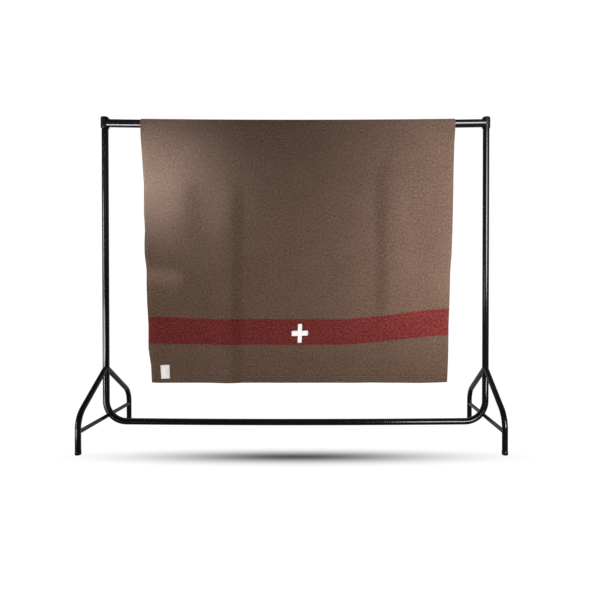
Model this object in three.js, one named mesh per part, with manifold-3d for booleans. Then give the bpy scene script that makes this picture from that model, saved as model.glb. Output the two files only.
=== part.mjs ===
// A military wool blanket hung over a free-standing clothes rail.
// Millimetres, +Z up, +Y away from the viewer of the blanket's face, origin on the floor under the middle.

import * as THREE from "three";
import { mergeVertices } from "three/addons/utils/BufferGeometryUtils.js";
import Module from "manifold-3d";

const wasm = await Module();
wasm.setup();

// Driving dimensions of the clothes rail
const UPRIGHT_X = 920; // from the middle to each upright
const RAIL_Z = 1515; // axis of the top rail
const RAIL_RADIUS = 19;
const RAIL_SAG = 7; // in the middle of the top rail
const UPRIGHT_RADIUS = 15.5; // uprights, risers and base bar
const JOINT_Z = 335; // the upper tube stands on the riser here
const BASE_Z = 72; // axis of the base bar
const BASE_SAG = 4;
const BASE_BEND = 100; // bend radius at the tube's axis
const LEG_RADIUS = 12.5;
const LEG_SPREAD = 250; // from the upright to each foot
const LEG_KNEE_Z = 162.5; // where the sloped and the upright stretch of a leg would meet
const LEG_BEND = 100;
const BRACE_RADIUS = 9.5;
const FOOT_RADIUS = 13.2;
const FOOT_HEIGHT = 16;
const FOOT_ROUND = 3.5; // rounding of the foot's lower edge
const CORNER_RADIUS = 19.5;
const CORNER_TOP_Z = 1544;
const CORNER_BOTTOM_Z = 1491;
const CORNER_ROUND = 6; // rounding of the corner fitting's top edge
const CORNER_FLAT = 3.5; // the flat top ends this far from the upright's axis, towards the rail
const CORNER_SLOPE = 10; // and slopes down by this much to the fitting's side
const CORNER_CUT = 60; // size of the block that cuts the slope
const GAP = 0.3; // between pieces that touch

// Driving dimensions of the blanket
const CLOTH_LENGTH = 2050; // cut length
const CLOTH_THICKNESS = 3;
const CLOTH_CLEARANCE = 0.6; // between the rail and the inside of the cloth
const HEM_Z = 264; // front hem
const CROSS = { x: 21.5, z: 502, height: 90, width: 78.5, upright: 19.6, bar: 24, rounding: 4, thick: 1.5 };
const LABEL = { x: -625, z: 317, width: 42.3, height: 69.2, lean: 2.8, thick: 1 };

// Facets
const TUBE_SIDES = 16;
const RAIL_SIDES = 24;
const BEND_STEPS = 6;
const SAG_STEPS = 6;
const ROUND_STEPS = 3;
const ACROSS_STEPS = 58;
const FRONT_STEPS = 28;
const WRAP_STEPS = 10;
const BACK_STEPS = 7;
const MERGE = 1e-4;

// A table from the names of its columns and its rows of numbers
const table = (columns, rows) =>
  rows.map((row) => Object.fromEntries(columns.map((column, index) => [column, row[index]])));

// Edges of the hanging cloth, a row for each height: it draws in towards the hem.
const OUTLINE = table(["z", "left", "right"], [
  [1515, -741, 766.5],
  [1420, -740.5, 763.5],
  [1300, -737, 762],
  [1220, -732, 761.5],
  [1080, -733, 759],
  [1000, -726.5, 757.5],
  [880, -727, 753.5],
  [780, -717.5, 746.5],
  [650, -714.5, 743.5],
  [540, -708, 739.5],
  [430, -708.5, 739],
  [345, -696, 737],
  [264, -692.5, 733.5],
]);

// Soft folds, a row for each: its crest's place across, how far that place moves by the hem, its reach to
// the left and right, its rise outwards (a trough is negative), and the heights where it begins, is full,
// fades and ends.
const FOLD_COLUMNS = ["x", "lean", "left", "right", "rise", "begins", "full", "fades", "ends"];
const FRONT_FOLDS = table(FOLD_COLUMNS, [
  [-305, -10, 110, 70, 25, 1270, 1080, 800, -200], // left ridge
  [-540, 10, 180, 105, 24, 1310, 1110, 1050, 830], // left swell
  [372, 0, 110, 70, -4, 1330, 1150, 1, 0], // right trough
  [450, 4, 78, 150, 12, 1400, 1180, 640, 500], // right ridge
  [537, 0, 32, 36, -3, 1210, 1120, 1060, 960], // small trough
  [600, 0, 130, 110, 6, 700, 480, 1, 0], // lower right swell
]);
const BACK_FOLDS = table(FOLD_COLUMNS, [
  [-420, -10, 150, 110, 14, 1440, 1150, 1, 0], // left ridge
  [60, 12, 130, 170, 10, 1400, 1060, 1, 0], // middle ridge
  [500, 8, 120, 140, 13, 1440, 1120, 1, 0], // right ridge
]);

// The sides of the front turn back from the viewer, a row for each turn: how wide the turned strip is, how
// far back its edge goes, and the heights where it begins, is full, fades and ends.
const TURN_COLUMNS = ["side", "width", "back", "begins", "full", "fades", "ends"];
const EDGE_TURNS = table(TURN_COLUMNS, [
  ["left", 34, 9, 1490, 1380, 1, 0],
  ["left", 160, 12, 1460, 1250, 1100, 900],
  ["right", 38, 9, 1490, 1400, 1, 0],
  ["right", 300, 10, 1490, 1250, 1, 0],
]);

const FINISH = {
  wool: new THREE.MeshStandardMaterial({ color: 0x6b5546, roughness: 0.95, metalness: 0 }),
  felt: new THREE.MeshStandardMaterial({ color: 0xe8e4de, roughness: 0.95, metalness: 0 }),
  tape: new THREE.MeshStandardMaterial({ color: 0xe6e2df, roughness: 0.8, metalness: 0 }),
  paint: new THREE.MeshStandardMaterial({ color: 0x0c0c0d, roughness: 0.3, metalness: 0 }),
  plastic: new THREE.MeshStandardMaterial({ color: 0x111112, roughness: 0.5, metalness: 0 }),
};

const at = (x, y, z) => new THREE.Vector3(x, y, z);
const smooth = (from, to, value) => THREE.MathUtils.smoothstep(value, from, to);

// A path made of listed points, with one step of a tube between each two of them.
class ListedPath extends THREE.Curve {
  constructor(points) {
    super();
    this.points = points;
  }

  getUtoTmapping(u) {
    return u;
  }

  getPoint(t, target = new THREE.Vector3()) {
    const last = this.points.length - 1;
    const index = Math.min(Math.floor(t * last), last - 1);
    return target.lerpVectors(this.points[index], this.points[index + 1], t * last - index);
  }
}

// The points of a path with its corners rounded to a bend radius.
function bentPath(corners, radius) {
  const points = [corners[0]];
  for (let i = 1; i < corners.length - 1; i += 1) {
    const into = corners[i].clone().sub(corners[i - 1]).normalize();
    const out = corners[i + 1].clone().sub(corners[i]).normalize();
    const turn = into.angleTo(out);
    const axis = into.clone().cross(out).normalize();
    const start = corners[i].clone().addScaledVector(into, -radius * Math.tan(turn / 2));
    const inward = axis.clone().cross(into);
    const centre = start.clone().addScaledVector(inward, radius);
    for (let step = 0; step <= BEND_STEPS; step += 1) {
      const arm = start.clone().sub(centre).applyAxisAngle(axis, (turn * step) / BEND_STEPS);
      points.push(centre.clone().add(arm));
    }
  }
  points.push(corners[corners.length - 1]);
  return points;
}

// A long bar sags between its ends.
const sagAt = (x, halfSpan, depth) => depth * Math.max(0, 1 - (x / halfSpan) ** 2);

function tube(points, radius, sides = TUBE_SIDES) {
  const section = [];
  for (let side = 0; side < sides; side += 1) {
    const angle = (2 * Math.PI * side) / sides;
    section.push(new THREE.Vector2(radius * Math.cos(angle), radius * Math.sin(angle)));
  }
  const path = new ListedPath(points);
  return new THREE.ExtrudeGeometry(new THREE.Shape(section), { steps: points.length - 1, extrudePath: path });
}

// A turned piece about the Z axis, from a profile of [radius, height] that starts and ends on the axis.
function turned(profile, sides) {
  const points = profile.map(([radius, height]) => new THREE.Vector2(radius, height));
  return new THREE.LatheGeometry(points, sides).rotateX(Math.PI / 2);
}

// The same faces with shared corners joined and empty triangles left out.
function closedMesh(geometry) {
  const bare = geometry.clone();
  bare.deleteAttribute("normal");
  bare.deleteAttribute("uv");
  const merged = mergeVertices(bare, MERGE);
  const corners = merged.index.array;
  const kept = [];
  for (let i = 0; i < corners.length; i += 3) {
    const [a, b, c] = [corners[i], corners[i + 1], corners[i + 2]];
    if (a !== b && b !== c && c !== a) {
      kept.push(a, b, c);
    }
  }
  merged.setIndex(kept);
  return merged;
}

function solidOf(geometry) {
  const mesh = closedMesh(geometry);
  const vertProperties = new Float32Array(mesh.attributes.position.array);
  const triVerts = new Uint32Array(mesh.index.array);
  return new wasm.Manifold(new wasm.Mesh({ numProp: 3, vertProperties, triVerts }));
}

function geometryOf(solid) {
  const { vertProperties, triVerts } = solid.getMesh();
  const geometry = new THREE.BufferGeometry();
  geometry.setAttribute("position", new THREE.BufferAttribute(new Float32Array(vertProperties), 3));
  geometry.setIndex(new THREE.BufferAttribute(new Uint32Array(triVerts), 1));
  geometry.computeVertexNormals();
  return geometry;
}

// A round tool that notches a tube to fit round another of the given radius, with the gap between them.
function notch(from, to, radius, sides) {
  const clear = (radius + GAP) / Math.cos(Math.PI / sides);
  return solidOf(tube([from, to], clear, sides));
}

// Clothes rail

function topRail() {
  const points = [];
  for (let step = 0; step <= SAG_STEPS; step += 1) {
    const x = UPRIGHT_X * ((2 * step) / SAG_STEPS - 1);
    points.push(at(x, 0, RAIL_Z - sagAt(x, UPRIGHT_X, RAIL_SAG)));
  }
  let rail = solidOf(tube(points, RAIL_RADIUS, RAIL_SIDES));
  for (const side of [-1, 1]) {
    const low = at(side * UPRIGHT_X, 0, CORNER_BOTTOM_Z - CORNER_CUT);
    const high = at(side * UPRIGHT_X, 0, CORNER_TOP_Z + CORNER_CUT);
    rail = rail.subtract(notch(low, high, CORNER_RADIUS, RAIL_SIDES));
  }
  return geometryOf(rail);
}

// A sleeve with a rounded top edge, and a slope on its top that runs down to the rail.
function cornerFitting(side) {
  const profile = [[0, CORNER_BOTTOM_Z], [CORNER_RADIUS, CORNER_BOTTOM_Z]];
  for (let step = 0; step <= ROUND_STEPS; step += 1) {
    const angle = (Math.PI / 2) * (step / ROUND_STEPS);
    const radius = CORNER_RADIUS - CORNER_ROUND * (1 - Math.cos(angle));
    profile.push([radius, CORNER_TOP_Z - CORNER_ROUND * (1 - Math.sin(angle))]);
  }
  profile.push([0, CORNER_TOP_Z]);
  const sleeve = solidOf(turned(profile, RAIL_SIDES));
  const fall = Math.atan2(CORNER_SLOPE, CORNER_RADIUS - CORNER_FLAT);
  const block = new THREE.BoxGeometry(2 * CORNER_CUT, CORNER_CUT, CORNER_CUT);
  block.translate(0, 0, CORNER_CUT / 2);
  block.rotateY(-side * fall);
  block.translate(-side * CORNER_FLAT, 0, CORNER_TOP_Z);
  const keep = new THREE.BoxGeometry(CORNER_CUT, CORNER_CUT, CORNER_CUT);
  keep.translate(side * (CORNER_CUT / 2 - CORNER_FLAT), 0, CORNER_TOP_Z);
  const cut = solidOf(block).subtract(solidOf(keep));
  return geometryOf(sleeve.subtract(cut)).translate(side * UPRIGHT_X, 0, 0);
}

function upright(side) {
  const x = side * UPRIGHT_X;
  return tube([at(x, 0, JOINT_Z + GAP), at(x, 0, CORNER_BOTTOM_Z - GAP)], UPRIGHT_RADIUS);
}

// One tube: riser, bend, base bar, bend and riser.
function baseRail() {
  const straight = UPRIGHT_X - BASE_BEND;
  const left = bentPath([at(-UPRIGHT_X, 0, JOINT_Z), at(-UPRIGHT_X, 0, BASE_Z), at(0, 0, BASE_Z)], BASE_BEND);
  left.pop();
  const middle = [];
  for (let step = 1; step < SAG_STEPS; step += 1) {
    const x = straight * ((2 * step) / SAG_STEPS - 1);
    middle.push(at(x, 0, BASE_Z - sagAt(x, straight, BASE_SAG)));
  }
  const right = left.map((point) => at(-point.x, 0, point.z)).reverse();
  return tube([...left, ...middle, ...right], UPRIGHT_RADIUS);
}

// A leg slopes out from the joint, bends, and stands on its foot. Its top is notched round the upright.
function leg(side, way) {
  const x = side * UPRIGHT_X;
  const corners = [
    at(x, 0, JOINT_Z),
    at(x, way * LEG_SPREAD, LEG_KNEE_Z),
    at(x, way * LEG_SPREAD, FOOT_HEIGHT + GAP),
  ];
  const bent = solidOf(tube(bentPath(corners, LEG_BEND), LEG_RADIUS));
  const tool = notch(at(x, 0, 0), at(x, 0, 2 * JOINT_Z), UPRIGHT_RADIUS, TUBE_SIDES);
  return geometryOf(bent.subtract(tool));
}

function foot(side, way) {
  const profile = [[0, 0]];
  for (let step = 0; step <= ROUND_STEPS; step += 1) {
    const angle = (Math.PI / 2) * (step / ROUND_STEPS);
    const radius = FOOT_RADIUS - FOOT_ROUND * (1 - Math.sin(angle));
    profile.push([radius, FOOT_ROUND * (1 - Math.cos(angle))]);
  }
  profile.push([FOOT_RADIUS, FOOT_HEIGHT], [0, FOOT_HEIGHT]);
  return turned(profile, TUBE_SIDES).translate(side * UPRIGHT_X, way * LEG_SPREAD, 0);
}

// The brace runs from leg to leg and carries the base tube's bend, which rests on it.
function brace(side) {
  const x = side * UPRIGHT_X;
  const reach = BASE_BEND + UPRIGHT_RADIUS + GAP + BRACE_RADIUS;
  const z = BASE_Z + BASE_BEND - Math.sqrt(reach ** 2 - BASE_BEND ** 2);
  let bar = solidOf(tube([at(x, -LEG_SPREAD, z), at(x, LEG_SPREAD, z)], BRACE_RADIUS));
  for (const way of [-1, 1]) {
    const y = way * LEG_SPREAD;
    bar = bar.subtract(notch(at(x, y, 0), at(x, y, 2 * z), LEG_RADIUS, TUBE_SIDES));
  }
  return geometryOf(bar);
}

// Blanket

const WRAP_RADIUS = RAIL_RADIUS + CLOTH_CLEARANCE + CLOTH_THICKNESS / 2; // middle of the cloth over the rail
const QUARTER_WRAP = (WRAP_RADIUS * Math.PI) / 2;
const FRONT_DROP = RAIL_Z - HEM_Z;
const BACK_DROP = CLOTH_LENGTH - FRONT_DROP - 2 * QUARTER_WRAP;

// Where the cloth's two edges are at a height.
function edgesAt(z) {
  const below = OUTLINE.findIndex((row) => row.z <= z);
  const lower = OUTLINE[below < 0 ? OUTLINE.length - 1 : below];
  const upper = OUTLINE[Math.max((below < 0 ? OUTLINE.length : below) - 1, 0)];
  const share = upper === lower ? 0 : THREE.MathUtils.clamp((z - lower.z) / (upper.z - lower.z), 0, 1);
  const left = THREE.MathUtils.lerp(lower.left, upper.left, share);
  const right = THREE.MathUtils.lerp(lower.right, upper.right, share);
  return { left, right };
}

// How much of a fold or turn there is at a height, 0 to 1.
const shareAt = (row, z) => (1 - smooth(row.full, row.begins, z)) * smooth(row.ends, row.fades, z);

// How far the folds in a table stand out at a place: each is a soft bump across, flat beyond its reach.
function foldsAt(folds, x, z) {
  let rise = 0;
  for (const fold of folds) {
    const down = THREE.MathUtils.clamp((fold.begins - z) / (fold.begins - HEM_Z), 0, 1);
    const away = x - fold.x - fold.lean * down;
    const share = Math.min(Math.abs(away) / (away < 0 ? fold.left : fold.right), 1);
    rise += fold.rise * (0.5 + 0.5 * Math.cos(Math.PI * share)) * shareAt(fold, z);
  }
  return rise;
}

// How far the turned selvedges go back at a place.
function edgeTurnAt(x, z, edges) {
  let back = 0;
  for (const turn of EDGE_TURNS) {
    const inside = turn.side === "left" ? x - edges.left : edges.right - x;
    const share = THREE.MathUtils.clamp(1 - inside / turn.width, 0, 1);
    back += turn.back * share ** 2 * shareAt(turn, z);
  }
  return back;
}

// The middle of the cloth: across runs from edge to edge, 0 to 1, and along is the length of cloth from the
// crest of the rail, down the front where it is positive and down the back where it is negative.
function clothPlace(across, along) {
  const way = along < 0 ? 1 : -1;
  const length = Math.abs(along);
  const top = edgesAt(RAIL_Z);
  const topX = THREE.MathUtils.lerp(top.left, top.right, across);
  const crest = RAIL_Z - sagAt(topX, UPRIGHT_X, RAIL_SAG);
  if (length <= QUARTER_WRAP) {
    const angle = length / WRAP_RADIUS;
    return at(topX, way * WRAP_RADIUS * Math.sin(angle), crest + WRAP_RADIUS * Math.cos(angle));
  }
  const drop = length - QUARTER_WRAP;
  const z = crest - (drop * (crest - HEM_Z)) / FRONT_DROP;
  const edges = edgesAt(z);
  const x = THREE.MathUtils.lerp(edges.left, edges.right, across);
  if (way > 0) {
    return at(x, WRAP_RADIUS + foldsAt(BACK_FOLDS, x, z), z);
  }
  return at(x, edgeTurnAt(x, z, edges) - WRAP_RADIUS - foldsAt(FRONT_FOLDS, x, z), z);
}

// The outward direction of the cloth, from how its middle changes about a place.
function clothNormal(across, along) {
  const small = 1e-3;
  const sideways = clothPlace(across + small, along).sub(clothPlace(across - small, along));
  const downwards = clothPlace(across, along + CLOTH_LENGTH * small);
  downwards.sub(clothPlace(across, along - CLOTH_LENGTH * small));
  return downwards.cross(sideways).normalize();
}

function alongStations() {
  const stations = [];
  for (let step = 0; step < FRONT_STEPS; step += 1) {
    stations.push(QUARTER_WRAP + FRONT_DROP * (1 - step / FRONT_STEPS));
  }
  for (let step = 0; step <= WRAP_STEPS; step += 1) {
    stations.push(QUARTER_WRAP * (1 - (2 * step) / WRAP_STEPS));
  }
  for (let step = 1; step <= BACK_STEPS; step += 1) {
    stations.push(-QUARTER_WRAP - (BACK_DROP * step) / BACK_STEPS);
  }
  return stations;
}

// One closed sheet: an outer and an inner face on the same stations, joined round the rim.
function blanket() {
  const stations = alongStations();
  const columns = ACROSS_STEPS + 1;
  const layer = stations.length * columns;
  const positions = [];
  for (const face of [1, -1]) {
    for (const along of stations) {
      for (let column = 0; column < columns; column += 1) {
        const across = column / ACROSS_STEPS;
        const point = clothPlace(across, along);
        point.addScaledVector(clothNormal(across, along), (face * CLOTH_THICKNESS) / 2);
        positions.push(point.x, point.y, point.z);
      }
    }
  }
  const corners = [];
  const quad = (a, b, c, d) => corners.push(a, b, c, a, c, d);
  for (let row = 0; row + 1 < stations.length; row += 1) {
    for (let column = 0; column < ACROSS_STEPS; column += 1) {
      const a = row * columns + column;
      quad(a, a + 1, a + 1 + columns, a + columns);
      quad(layer + a, layer + a + columns, layer + a + 1 + columns, layer + a + 1);
    }
    const left = row * columns;
    const right = left + ACROSS_STEPS;
    quad(left, left + columns, layer + left + columns, layer + left);
    quad(right + columns, right, layer + right, layer + right + columns);
  }
  const backHem = layer - columns;
  for (let column = 0; column < ACROSS_STEPS; column += 1) {
    quad(column + 1, column, layer + column, layer + column + 1);
    quad(backHem + column, backHem + column + 1, layer + backHem + column + 1, layer + backHem + column);
  }
  const geometry = new THREE.BufferGeometry();
  geometry.setAttribute("position", new THREE.Float32BufferAttribute(positions, 3));
  geometry.setIndex(corners);
  geometry.computeVertexNormals();
  return geometry;
}

// A flat piece sewn on the face of the front leaf, from its outline across and up; its top leans to the left.
function sewnOn(outline, thick, x, z, lean) {
  const flat = { depth: thick, bevelEnabled: false, curveSegments: ROUND_STEPS };
  const piece = new THREE.ExtrudeGeometry(outline, flat);
  piece.rotateX(Math.PI / 2);
  piece.rotateY(THREE.MathUtils.degToRad(-lean));
  return piece.translate(x, -WRAP_RADIUS - CLOTH_THICKNESS / 2 - GAP, z);
}

// A cross with rounded outer corners.
function crossPatch() {
  const [wide, tall] = [CROSS.width / 2, CROSS.height / 2];
  const [inX, inZ] = [CROSS.upright / 2, CROSS.bar / 2];
  const outline = new THREE.Shape();
  const round = CROSS.rounding;
  const tips = [
    { out: [0, 1], half: inX, reach: tall, next: [-inX, inZ] },
    { out: [-1, 0], half: inZ, reach: wide, next: [-inX, -inZ] },
    { out: [0, -1], half: inX, reach: tall, next: [inX, -inZ] },
    { out: [1, 0], half: inZ, reach: wide, next: [inX, inZ] },
  ];
  outline.moveTo(inX, inZ);
  for (const { out, half, reach, next } of tips) {
    const [ox, oz] = out;
    const place = (along, across) => [ox * along + oz * across, oz * along - ox * across];
    outline.lineTo(...place(reach - round, half));
    outline.quadraticCurveTo(...place(reach, half), ...place(reach, half - round));
    outline.lineTo(...place(reach, round - half));
    outline.quadraticCurveTo(...place(reach, -half), ...place(reach - round, -half));
    outline.lineTo(...next);
  }
  return sewnOn(outline, CROSS.thick, CROSS.x, CROSS.z, 0);
}

function label() {
  const [x, z] = [LABEL.width / 2, LABEL.height / 2];
  const outline = new THREE.Shape([
    new THREE.Vector2(-x, -z),
    new THREE.Vector2(x, -z),
    new THREE.Vector2(x, z),
    new THREE.Vector2(-x, z),
  ]);
  return sewnOn(outline, LABEL.thick, LABEL.x, LABEL.z, LABEL.lean);
}

// The whole object

const whole = new THREE.Group();

function add(name, geometry, finish) {
  const mesh = new THREE.Mesh(geometry, finish);
  mesh.name = name;
  whole.add(mesh);
}

const SIDES = { left: -1, right: 1 };
const WAYS = { front: -1, back: 1 };

add("blanket", blanket(), FINISH.wool);
add("cross_patch", crossPatch(), FINISH.felt);
add("label", label(), FINISH.tape);
add("top_rail", topRail(), FINISH.paint);
add("base_rail", baseRail(), FINISH.paint);
for (const [sideName, side] of Object.entries(SIDES)) {
  add(`corner_${sideName}`, cornerFitting(side), FINISH.plastic);
  add(`upright_${sideName}`, upright(side), FINISH.paint);
  add(`brace_${sideName}`, brace(side), FINISH.paint);
  for (const [wayName, way] of Object.entries(WAYS)) {
    add(`leg_${wayName}_${sideName}`, leg(side, way), FINISH.paint);
    add(`foot_${wayName}_${sideName}`, foot(side, way), FINISH.plastic);
  }
}

export default whole;
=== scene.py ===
"""A brown military wool blanket hung over the round top rail of a black tubular clothes rail. Metres."""

import math
from collections import namedtuple

import bpy
import numpy as np
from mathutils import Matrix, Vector


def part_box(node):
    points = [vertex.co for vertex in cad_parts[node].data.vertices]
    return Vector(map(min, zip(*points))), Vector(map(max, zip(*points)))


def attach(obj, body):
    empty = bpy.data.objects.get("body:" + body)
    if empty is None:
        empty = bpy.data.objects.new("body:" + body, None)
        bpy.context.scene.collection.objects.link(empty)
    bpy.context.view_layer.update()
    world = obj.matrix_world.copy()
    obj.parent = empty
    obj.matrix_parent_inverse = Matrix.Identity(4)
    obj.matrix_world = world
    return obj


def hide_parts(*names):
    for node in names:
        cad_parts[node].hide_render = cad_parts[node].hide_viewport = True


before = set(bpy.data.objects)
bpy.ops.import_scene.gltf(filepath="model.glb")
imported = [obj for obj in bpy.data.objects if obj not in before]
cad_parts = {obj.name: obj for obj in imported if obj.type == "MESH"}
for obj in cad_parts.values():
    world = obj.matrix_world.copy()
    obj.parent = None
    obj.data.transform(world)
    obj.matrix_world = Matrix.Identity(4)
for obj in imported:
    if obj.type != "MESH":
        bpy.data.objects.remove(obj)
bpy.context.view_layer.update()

BODY = "root"
SIDES = {"left": -1, "right": 1}
WAYS = {"front": -1, "back": 1}

# The clothes rail
FOOT_RADIUS = 0.0132
FOOT_HEIGHT = 0.016  # where the leg's tube begins
FOOT_ROUND = 0.0035  # rounding of the foot's lower edge
FOOT_RIM = 0.0015  # the foot cap's rim stands this far up round the leg
FOOT_RIM_ROUND = 0.0007
UPRIGHT_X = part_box("foot_front_right")[1].x - FOOT_RADIUS  # from the middle to each upright
UPRIGHT_RADIUS = 0.0155  # uprights, risers and base bar
UPRIGHT_PLUG = 0.02  # how far an upright goes into its corner fitting
RAIL_Z = 1.515  # axis of the top rail
RAIL_RADIUS = 0.019
RAIL_SAG = 0.007  # in the middle of the top rail
JOINT_Z = 0.335  # the upper tube stands on the riser here
BASE_Z = 0.072  # axis of the base bar
BASE_SAG = 0.004
BASE_BEND = 0.1  # bend radius at the tube's axis
LEG_RADIUS = 0.0125
LEG_SPREAD = 0.25  # from the upright to each foot
LEG_KNEE_Z = 0.1625  # where the sloped and the upright stretch of a leg would meet
LEG_BEND = 0.1
BRACE_RADIUS = 0.0095
CORNER_RADIUS = 0.0195
CORNER_TOP_Z = 1.544
CORNER_BOTTOM_Z = 1.491
CORNER_FLAT = 0.0035  # the flat top ends this far from the upright's axis, towards the rail
CORNER_SLOPE = 0.01  # and slopes down by this much to the fitting's side
CORNER_ROUND = 0.006  # rounding of the fitting's top edge
CORNER_CHAMFER = 0.0012  # on the fitting's lower edge
TUBE_END_ROUND = 0.0012
GAP = 0.0003  # between pieces that touch

# Roundness of the tubes
TUBE_SIDES = 40
BEND_STEPS = 14
ROUND_STEPS = 5
EDGE_STEPS = 2
SAG_STEPS = 16
SMOOTH_ANGLE = math.radians(35)
MERGE = 1e-6

# The blanket
CLOTH_WIDTH = 1.5
CLOTH_LENGTH = 2.05
CLOTH_THICKNESS = 0.003
CLOTH_CLEARANCE = 0.0006  # between the rail and the inside of the cloth
HEM_Z = 0.264  # front hem
WRAP_RADIUS = RAIL_RADIUS + CLOTH_CLEARANCE + CLOTH_THICKNESS / 2  # middle of the cloth over the rail
QUARTER_WRAP = WRAP_RADIUS * math.pi / 2
FRONT_DROP = RAIL_Z - HEM_Z
BACK_DROP = CLOTH_LENGTH - FRONT_DROP - 2 * QUARTER_WRAP
HEM_DEPTH = 0.046  # the strip along the front hem that has closer rows
CLOTH_COLUMNS = 168
HEM_ROWS = 18
FRONT_ROWS = 134
WRAP_ROWS = 16
BACK_ROWS = 46

# Edges of the hanging cloth, a row for each height: it draws in towards the hem.
Edge = namedtuple("Edge", "z left right")
OUTLINE = [
    Edge(1.515, -0.7410, 0.7665),
    Edge(1.420, -0.7405, 0.7635),
    Edge(1.300, -0.7370, 0.7620),
    Edge(1.220, -0.7320, 0.7615),
    Edge(1.080, -0.7330, 0.7590),
    Edge(1.000, -0.7265, 0.7575),
    Edge(0.880, -0.7270, 0.7535),
    Edge(0.780, -0.7175, 0.7465),
    Edge(0.650, -0.7145, 0.7435),
    Edge(0.540, -0.7080, 0.7395),
    Edge(0.430, -0.7085, 0.7390),
    Edge(0.345, -0.6960, 0.7370),
    Edge(0.264, -0.6925, 0.7335),
]

# Soft folds, a row for each: its crest's place across, how far that place moves by the hem, its reach to the
# left and right, its rise outwards (a trough is negative), and the heights where it grows in and dies away.
# One that ends at 0 or below runs on past the hem.
Fold = namedtuple("Fold", "x lean left right rise begins full fades ends")
FRONT_FOLDS = {
    "left ridge": Fold(-0.305, -0.010, 0.110, 0.070, 0.025, 1.270, 1.080, 0.800, -0.200),
    "left swell": Fold(-0.540, 0.010, 0.180, 0.105, 0.024, 1.310, 1.110, 1.050, 0.830),
    "right trough": Fold(0.372, 0.0, 0.110, 0.070, -0.004, 1.330, 1.150, 0.001, 0.0),
    "right ridge": Fold(0.450, 0.004, 0.078, 0.150, 0.012, 1.400, 1.180, 0.640, 0.500),
    "small trough": Fold(0.537, 0.0, 0.032, 0.036, -0.003, 1.210, 1.120, 1.060, 0.960),
    "lower right swell": Fold(0.600, 0.0, 0.130, 0.110, 0.006, 0.700, 0.480, 0.001, 0.0),
}
BACK_FOLDS = {
    "back left ridge": Fold(-0.420, -0.010, 0.150, 0.110, 0.014, 1.440, 1.150, 0.001, 0.0),
    "back middle ridge": Fold(0.060, 0.012, 0.130, 0.170, 0.010, 1.400, 1.060, 0.001, 0.0),
    "back right ridge": Fold(0.500, 0.008, 0.120, 0.140, 0.013, 1.440, 1.120, 0.001, 0.0),
}

# The sides turn back from the viewer: how wide the turned strip is, how far back its edge goes, and the
# heights where it grows in and dies away.
EdgeTurn = namedtuple("EdgeTurn", "side width back begins full fades ends")
EDGE_TURNS = [
    EdgeTurn("left", 0.034, 0.009, 1.490, 1.380, 0.001, 0.0),
    EdgeTurn("left", 0.160, 0.012, 1.460, 1.250, 1.100, 0.900),
    EdgeTurn("right", 0.038, 0.009, 1.490, 1.400, 0.001, 0.0),
    EdgeTurn("right", 0.300, 0.010, 1.490, 1.250, 0.001, 0.0),
]

# Level creases from storage, a row for each: its height, where it begins and ends, how softly it does so,
# how deep it is, and its reach above and below. A higher sharpness makes its bottom narrower.
Crease = namedtuple("Crease", "z left right soft depth above below")
CREASES = [
    Crease(0.815, -0.76, -0.50, 0.10, 0.0100, 0.150, 0.075),
    Crease(0.812, 0.63, 0.80, 0.08, 0.0045, 0.080, 0.030),
]
CREASE_SHARPNESS = 1.6

# Ribs woven in along the hem: from one to the next, how many, how high, and painted shading of their flanks
RIB_PITCH = 0.0110
RIB_COUNT = 4
RIB_RISE = 0.0010
RIB_PAINTED_SHADING = 0.09

# Slow waves of the cloth's face, a row for each: length across, length up, height and start. They grow in
# over the first stretch of cloth below the rail.
Wave = namedtuple("Wave", "across up height start")
WAVES = [
    Wave(0.31, 0.90, 0.0007, 0.4),
    Wave(-0.17, 0.47, 0.0004, 1.9),
    Wave(0.093, -0.21, 0.00022, 3.1),
]
WAVES_BELOW = 0.12

# The stripe, woven in: its edges at the middle of the front, how far it climbs towards each side, where that
# climb begins and ends, the share of it that the lower edge takes, how soft the edges are, and how far they
# wander with the wool's clumps and flecks
STRIPE_LOW_Z = 0.448
STRIPE_HIGH_Z = 0.572
STRIPE_RIGHT_CLIMB = 0.050
STRIPE_RIGHT_FROM = 0.19
STRIPE_RIGHT_TO = 0.80
STRIPE_RIGHT_SHARE = 0.92
STRIPE_LEFT_CLIMB = 0.010
STRIPE_LEFT_FROM = -0.34
STRIPE_LEFT_TO = -0.72
STRIPE_LEFT_SHARE = 0.5
STRIPE_SOFT = 0.0016
STRIPE_CLUMPS = 0.010
STRIPE_FLECKS = 0.006

# The felt cross, cut by hand: a row for each arm, with its direction across and up, its reach, half its
# width, and how far its tip is off to its left
FELT_THICKNESS = 0.0015
CROSS_PLACE = (0.0215, 0.502)
CROSS_ROUNDING = 0.0045
LEAST_ROUNDING = 0.0006
Arm = namedtuple("Arm", "across up reach half shift")
CROSS_ARMS = [
    Arm(0, 1, 0.0448, 0.0099, -0.0008),
    Arm(-1, 0, 0.0395, 0.0123, 0.0010),
    Arm(0, -1, 0.0452, 0.0096, -0.0014),
    Arm(1, 0, 0.0390, 0.0120, 0.0012),
]

# The woven label
LABEL_PLACE = (-0.625, 0.317)
LABEL_WIDTH = 0.0423
LABEL_HEIGHT = 0.0660
LABEL_THICKNESS = 0.001
LABEL_ROUNDING = 0.0012
LABEL_LEAN = math.radians(2.8)

# Stitches, by their piece: how far in from its edge, the step from one to the next, and half their length
Stitch = namedtuple("Stitch", "inset step half")
CROSS_STITCH = Stitch(0.0048, 0.0044, 0.0015)
LABEL_STITCH = Stitch(0.0022, 0.0030, 0.0010)
THREAD_RADIUS = 0.00045
CORNER_STEPS = 5
STITCH_SIDES = 8
STITCH_RINGS = 5

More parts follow.
